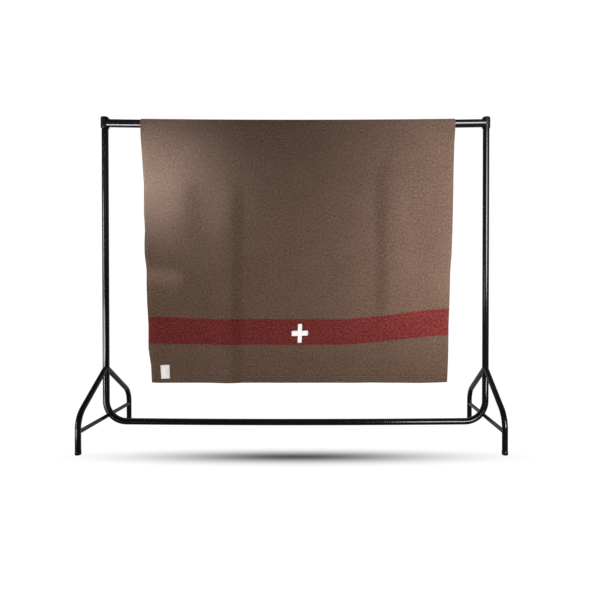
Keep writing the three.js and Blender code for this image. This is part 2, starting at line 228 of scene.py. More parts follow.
# A loop of a sewn-on piece: how far it is in from the piece's edge, and out from the blanket's face
Step = namedtuple("Step", "inset out")
CROSS_STEPS = [
    Step(0.0, 0.0002),
    Step(0.0, 0.0010),
    Step(0.0004, 0.0015),
    Step(0.0014, 0.0018),
    Step(0.0040, 0.0017),
    Step(0.0048, 0.0013),
    Step(0.0056, 0.0017),
    Step(0.0076, 0.0020),
]
LABEL_STEPS = [
    Step(0.0, 0.0002),
    Step(0.0, 0.0007),
    Step(0.0003, 0.0010),
    Step(0.0016, 0.0010),
    Step(0.0022, 0.0008),
    Step(0.0030, 0.0011),
]

# Colours of the finishes
WOOL_DARK = (0.052, 0.030, 0.020, 1.0)
WOOL_BROWN = (0.104, 0.062, 0.042, 1.0)
WOOL_LIGHT = (0.178, 0.117, 0.084, 1.0)
WOOL_SHEEN = (1.0, 0.95, 0.92, 1.0)
RED_DARK = (0.046, 0.006, 0.005, 1.0)
RED_WOOL = (0.122, 0.018, 0.016, 1.0)
RED_LIGHT = (0.236, 0.058, 0.050, 1.0)
FELT_DARK = (0.80, 0.77, 0.75, 1.0)
FELT_LIGHT = (0.95, 0.93, 0.91, 1.0)
TAPE_DARK = (0.80, 0.78, 0.76, 1.0)
TAPE_LIGHT = (0.95, 0.94, 0.93, 1.0)
THREAD_DARK = (0.50, 0.47, 0.44, 1.0)
THREAD_LIGHT = (0.72, 0.70, 0.67, 1.0)
PAINT_BLACK = (0.0062, 0.0062, 0.0066, 1.0)
PAINT_WORN = (0.0125, 0.0122, 0.0120, 1.0)
PLASTIC_DARK = (0.008, 0.008, 0.0084, 1.0)
PLASTIC_LIGHT = (0.014, 0.014, 0.0142, 1.0)
STUDIO_WHITE = (1.0, 1.0, 1.0, 1.0)
SHADOW_BLACK = (0.02, 0.02, 0.021, 1.0)

# Grain of the finishes, a row for each: its lumps to the metre, its finer layers, and how much those count
Grain = namedtuple("Grain", "per_metre layers rough")
WOOL_FLECK = Grain(620.0, 3.0, 0.65)
WOOL_CLUMP = Grain(210.0, 2.0, 0.6)
WOOL_TUFT = Grain(95.0, 2.0, 0.6)
WOOL_CLOUD = Grain(9.0, 3.0, 0.5)
WOOL_HAIR = Grain(330.0, 2.0, 0.7)
FELT_FIBRE = Grain(900.0, 3.0, 0.65)
FELT_CLUMP = Grain(160.0, 2.0, 0.6)
TAPE_WEAR = Grain(260.0, 3.0, 0.6)
THREAD_TWIST = Grain(1500.0, 2.0, 0.6)
PAINT_PEEL = Grain(420.0, 2.0, 0.5)
PAINT_CLOUD = Grain(14.0, 3.0, 0.6)
PAINT_DUST = Grain(55.0, 4.0, 0.7)
PLASTIC_GRAIN = Grain(1300.0, 2.0, 0.5)
PLASTIC_CLOUD = Grain(60.0, 3.0, 0.6)
GRAIN_LOW = 0.3  # most of a grain lies between this value
GRAIN_MIDDLE = 0.5
GRAIN_HIGH = 0.7  # and this one
HAIR_STRETCH = 5.0  # hairs are this much longer along the cloth than across it
TWILL_PITCH = 0.0034  # from one diagonal rib of the blanket's weave to the next
TAPE_PITCH_UP = 0.0011  # threads of the label's weave
TAPE_PITCH_ACROSS = 0.0014

# How much each part of a finish counts for in its tone, its nap or its wear
WOOL_TONE = {"fleck": 0.6, "clump": 1.3, "tuft": 0.7, "hair": 0.3, "cloud": 0.12, "twill": 0.04}
WOOL_TONE_LEVEL = 1.01
WOOL_NAP = {"fleck": 0.6, "hair": 0.4, "twill": 0.12, "clump": 0.5}
FELT_TONE = {"fibre": 0.6, "clump": 0.4}
FELT_NAP = {"fibre": 0.7, "clump": 0.3}
TAPE_RIB_TONE = 0.25
PAINT_WEAR = {"dust": 0.6, "cloud": 0.4}
PAINT_DULLNESS = {"dust": 0.5, "cloud": 0.5}

# The tones between which one colour gives way to the next
WOOL_DARK_TONES = (0.18, 0.50)
WOOL_LIGHT_TONES = (0.50, 0.84)
FELT_TONES = (0.32, 0.62)
TAPE_TONES = (0.25, 0.75)
THREAD_TONES = (0.35, 0.65)
PAINT_TONES = (0.50, 0.72)

# Roughness where a finish's grain is low and where it is high
WOOL_ROUGHNESS = (0.98, 0.86)
FELT_ROUGHNESS = (0.97, 0.88)
TAPE_ROUGHNESS = (0.85, 0.7)
THREAD_ROUGHNESS = (0.85, 0.65)
PAINT_ROUGHNESS = (0.13, 0.22)
PLASTIC_ROUGHNESS = (0.20, 0.30)

# Relief of the finishes, a row for each: its depth, and how strongly it shows
Relief = namedtuple("Relief", "depth strength")
WOOL_RELIEF = Relief(0.0009, 0.55)
FELT_RELIEF = Relief(0.0006, 0.6)
TAPE_RELIEF = Relief(0.0002, 0.5)
THREAD_RELIEF = Relief(0.0002, 0.5)
PAINT_RELIEF = Relief(0.0002, 0.06)
PLASTIC_RELIEF = Relief(0.0002, 0.12)

# The camera: the picture's size, focal length and middle of view are in pixels, the sensor in millimetres
PICTURE = 600
CAMERA_FOCUS = 455.789
CAMERA_MIDDLE = (329.774, 292.605)
CAMERA_PLACE = (0.16505, -2.20826, 0.71828)
CAMERA_PITCH = math.radians(0.551)
SENSOR = 36.0

# The floor, and the soft oval shadow painted on it: its middle, its spread across and away, and its depth
FLOOR_SIZE = 24
SHADOW_MIDDLE = (0.020, -0.273)
SHADOW_SPREAD = (0.43, 0.048)
SHADOW_DEPTH = 0.93

# Soft panels, a row for each: its place, where it points, its size, its beam's width in degrees, its power,
# its tint, and whether it shows in the gloss alone. The others light the surfaces and stay out of the gloss.
Lamp = namedtuple("Lamp", "place aim wide tall beam watts tint gloss_only")
COLD = (0.77, 0.87, 1.0)
COOL = (0.88, 0.91, 1.0)
WHITE = (1.0, 1.0, 1.0)
LAMPS = {
    "left panel": Lamp((-1.0, -0.85, 1.42), (-0.64, 0.0, 1.23), 0.4, 0.4, 45, 1.57, COLD, False),
    "left edge panel": Lamp((-1.25, -0.4, 1.35), (-0.7, 0.0, 1.24), 0.3, 0.4, 42, 0.92, COLD, False),
    "right panel": Lamp((1.35, -0.75, 1.2), (0.68, 0.0, 1.13), 0.4, 1.1, 58, 5.2, COOL, False),
    "right low panel": Lamp((1.5, -0.9, 0.45), (0.6, 0.0, 0.48), 0.4, 0.5, 52, 1.3, WHITE, False),
    "left low panel": Lamp((-2.0, -1.1, 0.42), (0.0, 0.0, 0.42), 0.4, 0.5, 50, 2.1, WHITE, False),
    "front panel": Lamp((0.1, -1.6, 0.85), (0.1, 0.0, 0.85), 1.2, 0.9, 110, 2.5, WHITE, False),
    "left grazing": Lamp((-0.68, -0.09, 0.91), (-0.67, 0.0, 0.735), 0.26, 0.03, 30, 0.046, COOL, False),
    "right grazing": Lamp((0.75, -0.09, 0.91), (0.745, 0.0, 0.735), 0.14, 0.03, 30, 0.016, COOL, False),
    "back panel": Lamp((1.2, 3.2, 2.0), (0.0, 0.0, 0.8), 2.0, 2.0, 120, 21.7, WHITE, False),
    "right streak": Lamp((1.50, -2.55, 1.15), (0.92, 0.0, 1.15), 1.2, 2.4, 54, 16.0, WHITE, True),
    "left streak": Lamp((-2.25, -1.49, 0.7), (-0.92, 0.0, 0.8), 0.5, 1.3, 44, 2.2, COOL, True),
    "rail streak left": Lamp((-1.5, -0.84, 0.1), (-0.85, 0.0, 1.5), 1.2, 0.6, 100, 14.0, WHITE, True),
}

# Light from all round: its strength on the level and overhead, and the slopes of view between which it
# changes; what the gloss sees in front and behind, and where it changes; and the white that the camera sees
WORLD_LIGHT = 0.56
WORLD_OVERHEAD = 0.05
WORLD_LEVEL = (-0.1, 0.7)
WORLD_GLOSS = 0.06
WORLD_BACKDROP = 0.45
WORLD_BEHIND = (0.1, 0.6)
WORLD_SEEN = 1.05


# Finishes


class Value:
    """A number that changes over a surface. Arithmetic on it adds Math nodes to its finish."""

    def __init__(self, finish, socket):
        self.finish = finish
        self.socket = socket

    def maths(self, operation, *values):
        return self.finish.node("ShaderNodeMath", {"operation": operation}, dict(enumerate(values)))

    def __add__(self, other):
        return self.maths("ADD", self, other)

    def __radd__(self, other):
        return self.maths("ADD", other, self)

    def __sub__(self, other):
        return self.maths("SUBTRACT", self, other)

    def __rsub__(self, other):
        return self.maths("SUBTRACT", other, self)

    def __mul__(self, other):
        return self.maths("MULTIPLY", self, other)

    def __rmul__(self, other):
        return self.maths("MULTIPLY", other, self)

    def wave(self, pitch):
        """A sine wave, with a pitch from one crest to the next."""
        return self.maths("SINE", self * (2 * math.pi / pitch))

    def bell(self):
        """A bell curve, from the square of the way off its middle."""
        return self.maths("EXPONENT", self * -0.5)


class Finish:
    """The nodes of a material, or of the light all round."""

    def __init__(self, name, kind="materials"):
        self.made = getattr(bpy.data, kind).new(name)
        self.made.use_nodes = True
        self.tree = self.made.node_tree
        self.shader = self.tree.nodes.get("Principled BSDF")

    def node(self, kind, settings, sockets, out=0):
        made = self.tree.nodes.new(kind)
        for name, value in settings.items():
            setattr(made, name, value)
        for name, value in sockets.items():
            self.feed(made.inputs[name], value)
        return Value(self, made.outputs[out])

    def feed(self, socket, value):
        if isinstance(value, Value):
            self.tree.links.new(value.socket, socket)
        else:
            socket.default_value = value

    def set(self, **values):
        """Feeds the shader's sockets, named with low lines for spaces."""
        for name, value in values.items():
            self.feed(self.shader.inputs[name.replace("_", " ")], value)

    def place(self):
        return self.node("ShaderNodeTexCoord", {}, {}, "Object")

    def attribute(self, name):
        return self.node("ShaderNodeAttribute", {"attribute_name": name}, {}, "Vector")

    def split(self, vector):
        parts = self.tree.nodes.new("ShaderNodeSeparateXYZ")
        self.feed(parts.inputs[0], vector)
        return [Value(self, socket) for socket in parts.outputs]

    def joined(self, x, y, z):
        return self.node("ShaderNodeCombineXYZ", {}, {0: x, 1: y, 2: z})

    def noise(self, vector, grain):
        sockets = {
            "Vector": vector,
            "Scale": grain.per_metre,
            "Detail": grain.layers,
            "Roughness": grain.rough,
        }
        return self.node("ShaderNodeTexNoise", {}, sockets, "Fac")

    def ease(self, value, low, high, bottom=0.0, top=1.0):
        """Goes smoothly from bottom to top as the value goes from low to high."""
        sockets = {"Value": value, 1: low, 2: high, 3: bottom, 4: top}
        return self.node("ShaderNodeMapRange", {"interpolation_type": "SMOOTHSTEP"}, sockets)

    def over_grain(self, value, first, last):
        """Goes from the first number to the last as a grain goes from low to high."""
        return self.ease(value, GRAIN_LOW, GRAIN_HIGH, first, last)

    def mix(self, share, first, second):
        """Mixes two colours. The node's sockets go by number, because it has some for each kind of data."""
        return self.node("ShaderNodeMix", {"data_type": "RGBA"}, {0: share, 6: first, 7: second}, 2)

    def bump(self, height, relief):
        sockets = {"Height": height, "Distance": relief.depth, "Strength": relief.strength}
        return self.node("ShaderNodeBump", {}, sockets)


def blend(parts, shares):
    """The parts of a finish that are named in shares, each times its share, added up."""
    weighed = [parts[name] * share for name, share in shares.items()]
    return sum(weighed[1:], weighed[0])


def painted_rib_shading(wool, along):
    """Painted shading of the hem ribs: the wool is darkened and lightened in bands that follow them."""
    above_hem = QUARTER_WRAP + FRONT_DROP - along
    inside = wool.ease(above_hem, RIB_PITCH * RIB_COUNT, RIB_PITCH * (RIB_COUNT - 1))
    return above_hem.wave(RIB_PITCH) * inside * RIB_PAINTED_SHADING


def stripe_mask(wool, across, along, grains):
    """1 on the woven stripe and 0 off it."""
    from_middle = across + OUTLINE[0].left
    right = wool.ease(from_middle, STRIPE_RIGHT_FROM, STRIPE_RIGHT_TO, 0.0, STRIPE_RIGHT_CLIMB)
    left = wool.ease(from_middle, STRIPE_LEFT_TO, STRIPE_LEFT_FROM, STRIPE_LEFT_CLIMB, 0.0)
    clumps = (grains["clump"] - GRAIN_MIDDLE) * STRIPE_CLUMPS
    flecks = (grains["fleck"] - GRAIN_MIDDLE) * STRIPE_FLECKS
    height = RAIL_Z - (along - QUARTER_WRAP) + (clumps + flecks)
    low = height - right * STRIPE_RIGHT_SHARE - left * STRIPE_LEFT_SHARE
    over = wool.ease(low, STRIPE_LOW_Z - STRIPE_SOFT, STRIPE_LOW_Z + STRIPE_SOFT)
    high = height - right - left
    under = wool.ease(high, STRIPE_HIGH_Z + STRIPE_SOFT, STRIPE_HIGH_Z - STRIPE_SOFT)
    return over * under


def wool_finish():
    """Brown heather wool with the red stripe, on the cloth's own flat measures."""
    wool = Finish("wool")
    cloth = wool.attribute("cloth")
    across, along, _ = wool.split(cloth)
    grains = {
        "fleck": wool.noise(cloth, WOOL_FLECK),
        "clump": wool.noise(cloth, WOOL_CLUMP),
        "tuft": wool.noise(cloth, WOOL_TUFT),
        "cloud": wool.noise(cloth, WOOL_CLOUD),
        "hair": wool.noise(wool.joined(across * HAIR_STRETCH, along, 0.0), WOOL_HAIR),
        "twill": (across + along).wave(TWILL_PITCH * math.sqrt(2)),
    }
    # The hem ribs' shading is painted into the wool's tone here.
    tone = blend(grains, WOOL_TONE) - WOOL_TONE_LEVEL - painted_rib_shading(wool, along)
    dark = wool.ease(tone, *WOOL_DARK_TONES)
    light = wool.ease(tone, *WOOL_LIGHT_TONES)
    brown = wool.mix(light, wool.mix(dark, WOOL_DARK, WOOL_BROWN), WOOL_LIGHT)
    red = wool.mix(light, wool.mix(dark, RED_DARK, RED_WOOL), RED_LIGHT)
    wool.set(
        Base_Color=wool.mix(stripe_mask(wool, across, along, grains), brown, red),
        Roughness=wool.over_grain(grains["fleck"], *WOOL_ROUGHNESS),
        Normal=wool.bump(blend(grains, WOOL_NAP), WOOL_RELIEF),
        Sheen_Weight=0.24,
        Sheen_Roughness=0.45,
        Sheen_Tint=WOOL_SHEEN,
        Specular_IOR_Level=0.0,
    )
    return wool.made


def felt_finish():
    felt = Finish("white felt")
    place = felt.place()
    grains = {"fibre": felt.noise(place, FELT_FIBRE), "clump": felt.noise(place, FELT_CLUMP)}
    tone = felt.ease(blend(grains, FELT_TONE), *FELT_TONES)
    felt.set(
        Base_Color=felt.mix(tone, FELT_DARK, FELT_LIGHT),
        Roughness=felt.over_grain(grains["fibre"], *FELT_ROUGHNESS),
        Normal=felt.bump(blend(grains, FELT_NAP), FELT_RELIEF),
        Sheen_Weight=0.15,
        Specular_IOR_Level=0.2,
    )
    return felt.made


def tape_finish():
    tape = Finish("white tape")
    place = tape.place()
    across, _, up = tape.split(place)
    ribs = up.wave(TAPE_PITCH_UP) * across.wave(TAPE_PITCH_ACROSS)
    wear = tape.noise(place, TAPE_WEAR)
    tone = tape.ease(ribs * TAPE_RIB_TONE + wear, *TAPE_TONES)
    tape.set(
        Base_Color=tape.mix(tone, TAPE_DARK, TAPE_LIGHT),
        Roughness=tape.over_grain(wear, *TAPE_ROUGHNESS),
        Normal=tape.bump(ribs, TAPE_RELIEF),
        Specular_IOR_Level=0.3,
    )
    return tape.made


def thread_finish():
    thread = Finish("white thread")
    twist = thread.noise(thread.place(), THREAD_TWIST)
    tone = thread.ease(twist, *THREAD_TONES)
    thread.set(
        Base_Color=thread.mix(tone, THREAD_DARK, THREAD_LIGHT),
        Roughness=thread.over_grain(twist, *THREAD_ROUGHNESS),
        Normal=thread.bump(twist, THREAD_RELIEF),
    )
    return thread.made


def paint_finish():
    paint = Finish("black paint")
    place = paint.place()
    grains = {"dust": paint.noise(place, PAINT_DUST), "cloud": paint.noise(place, PAINT_CLOUD)}
    worn = paint.ease(blend(grains, PAINT_WEAR), *PAINT_TONES)
    paint.set(
        Base_Color=paint.mix(worn, PAINT_BLACK, PAINT_WORN),
        Roughness=paint.over_grain(blend(grains, PAINT_DULLNESS), *PAINT_ROUGHNESS),
        Normal=paint.bump(paint.noise(place, PAINT_PEEL), PAINT_RELIEF),
        Specular_IOR_Level=0.5,
    )
    return paint.made


def plastic_finish():
    plastic = Finish("black plastic")
    place = plastic.place()
    cloud = plastic.noise(place, PLASTIC_CLOUD)
    plastic.set(
        Base_Color=plastic.mix(cloud, PLASTIC_DARK, PLASTIC_LIGHT),
        Roughness=plastic.over_grain(cloud, *PLASTIC_ROUGHNESS),
        Normal=plastic.bump(plastic.noise(place, PLASTIC_GRAIN), PLASTIC_RELIEF),
    )
    return plastic.made


def floor_finish():
    """White that meets the background, with one soft oval shadow painted on it below the clothes rail."""
    floor = Finish("white floor")
    across, away, _ = floor.split(floor.place())
    off_across = (across - SHADOW_MIDDLE[0]) * (1 / SHADOW_SPREAD[0])
    off_away = (away - SHADOW_MIDDLE[1]) * (1 / SHADOW_SPREAD[1])
    # The oval shadow is painted into the floor's colour: a bell curve that darkens it.
    shadow = (off_across * off_across + off_away * off_away).bell() * SHADOW_DEPTH
    tone = floor.mix(shadow, STUDIO_WHITE, SHADOW_BLACK)
    glow = floor.node("ShaderNodeEmission", {}, {"Color": tone, "Strength": WORLD_SEEN})
    floor.feed(floor.tree.nodes["Material Output"].inputs[0], glow)
    return floor.made


FINISHES = {
    "wool": wool_finish(),
    "felt": felt_finish(),
    "tape": tape_finish(),
    "thread": thread_finish(),
    "paint": paint_finish(),
    "plastic": plastic_finish(),
}


# Modelling by hand


def open_piece(name):
    """Names the primitive just added, puts its place into its mesh, and opens it with all of it selected."""
    piece = bpy.context.object
    piece.name = name
    piece.data.name = name
    bpy.ops.object.transform_apply(location=True, rotation=True, scale=True)
    bpy.ops.object.mode_set(mode="EDIT")
    bpy.ops.mesh.select_all(action="SELECT")
    return piece


def add_ring(name, centre, radius, way):
    """An open circle that faces along way."""
    bpy.ops.object.select_all(action="DESELECT")
    turned = Vector(way).to_track_quat("Z", "Y").to_euler()
    bpy.ops.mesh.primitive_circle_add(vertices=TUBE_SIDES, radius=radius, location=centre, rotation=turned)
    return open_piece(name)


def run(*step):
    """Draws the selected ring on by a step."""
    bpy.ops.mesh.extrude_region_move(TRANSFORM_OT_translate={"value": step})


def bend(start, into, out, radius):
    """Bends the selected ring, which is at start, from one direction to another. Returns where it ends."""
    axis = into.cross(out).normalized()
    centre = start + axis.cross(into) * radius
    angle = into.angle(out)
    bpy.ops.mesh.spin(steps=BEND_STEPS, angle=-angle, center=centre, axis=axis)
    return centre + axis.cross(out) * -radius


def resize(share, middle):
    """Makes the selected level ring wider or narrower."""
    bpy.ops.transform.resize(value=(share, share, 1.0), center_override=middle)


def round_over(radius, rounding, middle):
    """Draws the selected level ring up over a quarter round, inwards."""
    angles = np.linspace(0.0, math.pi / 2, ROUND_STEPS + 1)
    for before, after in zip(angles, angles[1:]):
        run(0, 0, rounding * (math.sin(after) - math.sin(before)))
        was = radius - rounding * (1 - math.cos(before))
        resize((radius - rounding * (1 - math.cos(after))) / was, middle)


def close_ends():
    """Fills the open ends and points the faces outwards."""
    bpy.ops.mesh.select_all(action="SELECT")
    bpy.ops.mesh.remove_doubles(threshold=MERGE)
    bpy.ops.mesh.fill_holes(sides=0)
    bpy.ops.mesh.select_all(action="SELECT")
    bpy.ops.mesh.normals_make_consistent(inside=False)


def select_edges(piece, wanted):
    """Selects the edges whose two ends are both wanted."""
    bpy.ops.mesh.select_mode(type="EDGE")
    bpy.ops.mesh.select_all(action="DESELECT")
    bpy.ops.object.mode_set(mode="OBJECT")
    points = piece.data.vertices
    for edge in piece.data.edges:
        edge.select = all(wanted(points[i].co) for i in edge.vertices)
    bpy.ops.object.mode_set(mode="EDIT")


def soften(piece, wanted, width, segments=EDGE_STEPS):
    """Rounds the edges whose two ends are both wanted."""
    select_edges(piece, wanted)
    bpy.ops.mesh.bevel(offset=width, segments=segments, affect="EDGES")


def finish_piece(piece, slot, node=None, look=None):
    """Leaves edit mode, smooths the piece, gives it its finish and sets it in place of its node."""
    if bpy.context.mode != "OBJECT":
        bpy.ops.object.mode_set(mode="OBJECT")
    bpy.ops.object.shade_smooth_by_angle(angle=SMOOTH_ANGLE)
    piece.data.materials.clear()
    piece.data.materials.append(look or FINISHES[slot])
    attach(piece, BODY)
    if node:
        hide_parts(node)


# Clothes rail


def sag_at(x, half_span, depth):
    """How far a bar hangs down at a place along it."""
    return depth * np.maximum(0.0, 1.0 - (x / half_span) ** 2)


def sagging_run(first, last, half_span, depth):
    """Draws the selected ring along a bar that sags, from one x to another."""
    stops = np.linspace(first, last, SAG_STEPS + 1)
    falls = sag_at(stops, half_span, depth)
    for step, fall in zip(np.diff(stops), np.diff(falls)):
        run(step, 0.0, -fall)


def top_rail():
    piece = add_ring("hanging_rail", (-UPRIGHT_X, 0, RAIL_Z), RAIL_RADIUS, (1, 0, 0))
    sagging_run(-UPRIGHT_X, UPRIGHT_X, UPRIGHT_X, RAIL_SAG)
    close_ends()
    finish_piece(piece, "paint", "top_rail")


def corner_fitting(name, side):
    """A sleeve on the upright with a rounded top edge, its top sloped down towards the rail."""
    x = side * UPRIGHT_X
    middle = (x, 0, CORNER_TOP_Z)
    piece = add_ring(f"fitting_{name}", (x, 0, CORNER_BOTTOM_Z), CORNER_RADIUS - CORNER_CHAMFER, (0, 0, 1))
    run(0, 0, CORNER_CHAMFER)
    resize(CORNER_RADIUS / (CORNER_RADIUS - CORNER_CHAMFER), middle)
    run(0, 0, CORNER_TOP_Z - CORNER_ROUND - CORNER_BOTTOM_Z - CORNER_CHAMFER)
    round_over(CORNER_RADIUS, CORNER_ROUND, middle)
    close_ends()
    bpy.ops.mesh.select_all(action="SELECT")
    slope = Vector((-side * CORNER_SLOPE, 0, CORNER_RADIUS - CORNER_FLAT))
    low = (x - side * CORNER_FLAT, 0, CORNER_TOP_Z)
    bpy.ops.mesh.bisect(plane_co=low, plane_no=slope, use_fill=True, clear_outer=True)
    close_ends()
    finish_piece(piece, "plastic", f"corner_{name}")


def upright(name, side):
    x = side * UPRIGHT_X
    piece = add_ring(f"upper_tube_{name}", (x, 0, JOINT_Z + GAP), UPRIGHT_RADIUS, (0, 0, 1))
    run(0, 0, CORNER_BOTTOM_Z + UPRIGHT_PLUG - JOINT_Z - GAP)
    close_ends()
    soften(piece, lambda point: point.z < JOINT_Z + 2 * GAP, TUBE_END_ROUND)
    finish_piece(piece, "paint", f"upright_{name}")


def base_rail():
    """One tube: riser, bend, base bar, bend and riser."""
    down, right, up = Vector((0, 0, -1)), Vector((1, 0, 0)), Vector((0, 0, 1))
    straight = UPRIGHT_X - BASE_BEND
    piece = add_ring("base_tube", (-UPRIGHT_X, 0, JOINT_Z), UPRIGHT_RADIUS, down)
    run(0, 0, BASE_Z + BASE_BEND - JOINT_Z)
    at = bend(Vector((-UPRIGHT_X, 0, BASE_Z + BASE_BEND)), down, right, BASE_BEND)
    sagging_run(at.x, straight, straight, BASE_SAG)
    at = bend(Vector((straight, 0, BASE_Z)), right, up, BASE_BEND)
    run(0, 0, JOINT_Z - at.z)
    close_ends()
    soften(piece, lambda point: point.z > JOINT_Z - MERGE, TUBE_END_ROUND)
    finish_piece(piece, "paint", "base_rail")


def leg(name, side, way):
    """A leg slopes out from the joint, bends, and stands on its foot."""
    start = Vector((side * UPRIGHT_X, 0, JOINT_Z))
    knee = Vector((side * UPRIGHT_X, way * LEG_SPREAD, LEG_KNEE_Z))
    down = Vector((0, 0, -1))
    slope = (knee - start).normalized()
    tangent = LEG_BEND * math.tan(slope.angle(down) / 2)
    inside = start + slope * UPRIGHT_RADIUS / 2
    turn = knee - slope * tangent
    piece = add_ring(f"splayed_leg_{name}", inside, LEG_RADIUS, slope)
    run(*(turn - inside))
    at = bend(turn, slope, down, LEG_BEND)
    run(0, 0, FOOT_HEIGHT - at.z)
    close_ends()
    finish_piece(piece, "paint", f"leg_{name}")


def foot(name, side, way):
    place = (side * UPRIGHT_X, way * LEG_SPREAD, 0)
    piece = add_ring(f"foot_cap_{name}", place, FOOT_RADIUS, (0, 0, 1))
    run(0, 0, FOOT_HEIGHT + FOOT_RIM)
    close_ends()
    soften(piece, lambda point: point.z < MERGE, FOOT_ROUND, ROUND_STEPS)
    soften(piece, lambda point: point.z > FOOT_HEIGHT + FOOT_RIM - MERGE, FOOT_RIM_ROUND)
    finish_piece(piece, "plastic", f"foot_{name}")


def brace(name, side):
    """The cross tube between two legs, under the base tube's bend."""
    reach = BASE_BEND + UPRIGHT_RADIUS + GAP + BRACE_RADIUS
    z = BASE_Z + BASE_BEND - math.sqrt(reach**2 - BASE_BEND**2)
    piece = add_ring(f"cross_tube_{name}", (side * UPRIGHT_X, -LEG_SPREAD, z), BRACE_RADIUS, (0, 1, 0))
    run(0, 2 * LEG_SPREAD, 0)
    close_ends()
    finish_piece(piece, "paint", f"brace_{name}")


def clothes_rail():
    top_rail()
    base_rail()
    for side_name, side in SIDES.items():
        corner_fitting(side_name, side)
        upright(side_name, side)
        brace(side_name, side)
        for way_name, way in WAYS.items():
            leg(f"{way_name}_{side_name}", side, way)
            foot(f"{way_name}_{side_name}", side, way)


# Blanket


def smooth(low, high, value):
    """Goes smoothly from 0 to 1 as the value goes from low to high."""
    share = np.clip((value - low) / (high - low), 0.0, 1.0)
    return share * share * (3.0 - 2.0 * share)


def edges_at(z):
    """Where the cloth's two edges are at a height."""
    heights = [row.z for row in reversed(OUTLINE)]
    left = np.interp(z, heights, [row.left for row in reversed(OUTLINE)])
    right = np.interp(z, heights, [row.right for row in reversed(OUTLINE)])
    return left, right


def folds_at(folds, x, z):
    """How far the folds in a table stand out at a place. Each is a soft bump, flat beyond its reach."""
    rise = np.zeros_like(x)
    for fold in folds.values():
        down = np.clip((fold.begins - z) / (fold.begins - HEM_Z), 0.0, 1.0)
        away = x - fold.x - fold.lean * down
        share = np.minimum(np.abs(away) / np.where(away < 0, fold.left, fold.right), 1.0)
        grown = smooth(fold.full, fold.begins, z)
        kept = smooth(fold.ends, fold.fades, z)
        rise += fold.rise * (0.5 + 0.5 * np.cos(np.pi * share)) * (1.0 - grown) * kept
    return rise


def edge_turn_at(x, z, left, right):
    """How far the turned selvedges go back at a place."""
    back = np.zeros_like(x)
    for turn in EDGE_TURNS:
        inside = x - left if turn.side == "left" else right - x
        share = np.clip(1.0 - inside / turn.width, 0.0, 1.0)
        kept = smooth(turn.ends, turn.fades, z)
        back += turn.back * share**2 * (1.0 - smooth(turn.full, turn.begins, z)) * kept
    return back


def creases_at(x, z):
    """How far the storage creases go back at a place."""
    back = np.zeros_like(x)
    for crease in CREASES:
        off = z - crease.z
        share = np.minimum(np.abs(off) / np.where(off > 0, crease.above, crease.below), 1.0)
        from_left = smooth(crease.left - crease.soft, crease.left, x)
        from_right = smooth(crease.right + crease.soft, crease.right, x)
        back += crease.depth * (1.0 - share) ** CREASE_SHARPNESS * (from_left * from_right)
    return back


def waves_at(x, z):
    """How far the slow waves stand out at a place."""
    rise = np.zeros_like(x)
    for wave in WAVES:
        rise += wave.height * np.sin(2 * np.pi * (x / wave.across + z / wave.up) + wave.start)
    return rise


def front_rise_at(x, z, left, right):
    """How far the front stands out at a place, without its slow waves."""
    return folds_at(FRONT_FOLDS, x, z) - edge_turn_at(x, z, left, right) - creases_at(x, z)


def face_at(x, z):
    """Where the front's outer face is, below the top of the cloth."""
    left, right = edges_at(z)
    rise = front_rise_at(x, z, left, right) + waves_at(x, z)
    return -WRAP_RADIUS - CLOTH_THICKNESS / 2 - rise


def ribs_at(above_hem):
    """The fine ribs woven in along the hem."""
    inside = above_hem < RIB_PITCH * RIB_COUNT
    ribs = RIB_RISE * (0.5 - 0.5 * np.cos(2 * np.pi * above_hem / RIB_PITCH))
    return np.where(inside, ribs, 0.0)


def cloth_places(across, along):
    """The middle of the cloth: across runs from edge to edge, 0 to 1, and along is the length of cloth from
    the crest of the rail, down the front where it is positive and down the back where it is negative."""
    front = along >= 0
    way = np.where(front, -1.0, 1.0)
    length = np.abs(along)
    top_x = OUTLINE[0].left + (OUTLINE[0].right - OUTLINE[0].left) * across
    crest = RAIL_Z - sag_at(top_x, UPRIGHT_X, RAIL_SAG)
    angle = np.minimum(length, QUARTER_WRAP) / WRAP_RADIUS
    drop = np.maximum(length - QUARTER_WRAP, 0.0)
    z = crest - drop * (crest - HEM_Z) / FRONT_DROP + WRAP_RADIUS * np.cos(angle)
    left, right = edges_at(np.minimum(z, crest))
    hanging = drop > 0
    x = np.where(hanging, left + (right - left) * across, top_x)
    front_rise = front_rise_at(x, z, left, right) + ribs_at(FRONT_DROP - drop)
    back_rise = folds_at(BACK_FOLDS, x, z)
    waves = waves_at(x, z) * smooth(0.0, WAVES_BELOW, drop)
    rise = np.where(front, front_rise, back_rise) + waves
    y = way * (WRAP_RADIUS * np.sin(angle) + np.where(hanging, rise, 0.0))
    return np.stack([x, y, z], axis=-1)


def along_stations():
    """The cloth's rows, from the front hem to the back one: closer at the front hem and over the rail."""
    front_end = QUARTER_WRAP + FRONT_DROP
    hem = np.linspace(front_end, front_end - HEM_DEPTH, HEM_ROWS + 1)
    front = np.linspace(front_end - HEM_DEPTH, QUARTER_WRAP, FRONT_ROWS + 1)
    wrap = np.linspace(QUARTER_WRAP, -QUARTER_WRAP, WRAP_ROWS + 1)
    back = np.linspace(-QUARTER_WRAP, -QUARTER_WRAP - BACK_DROP, BACK_ROWS + 1)
    return np.concatenate([hem, front[1:], wrap[1:], back[1:]])


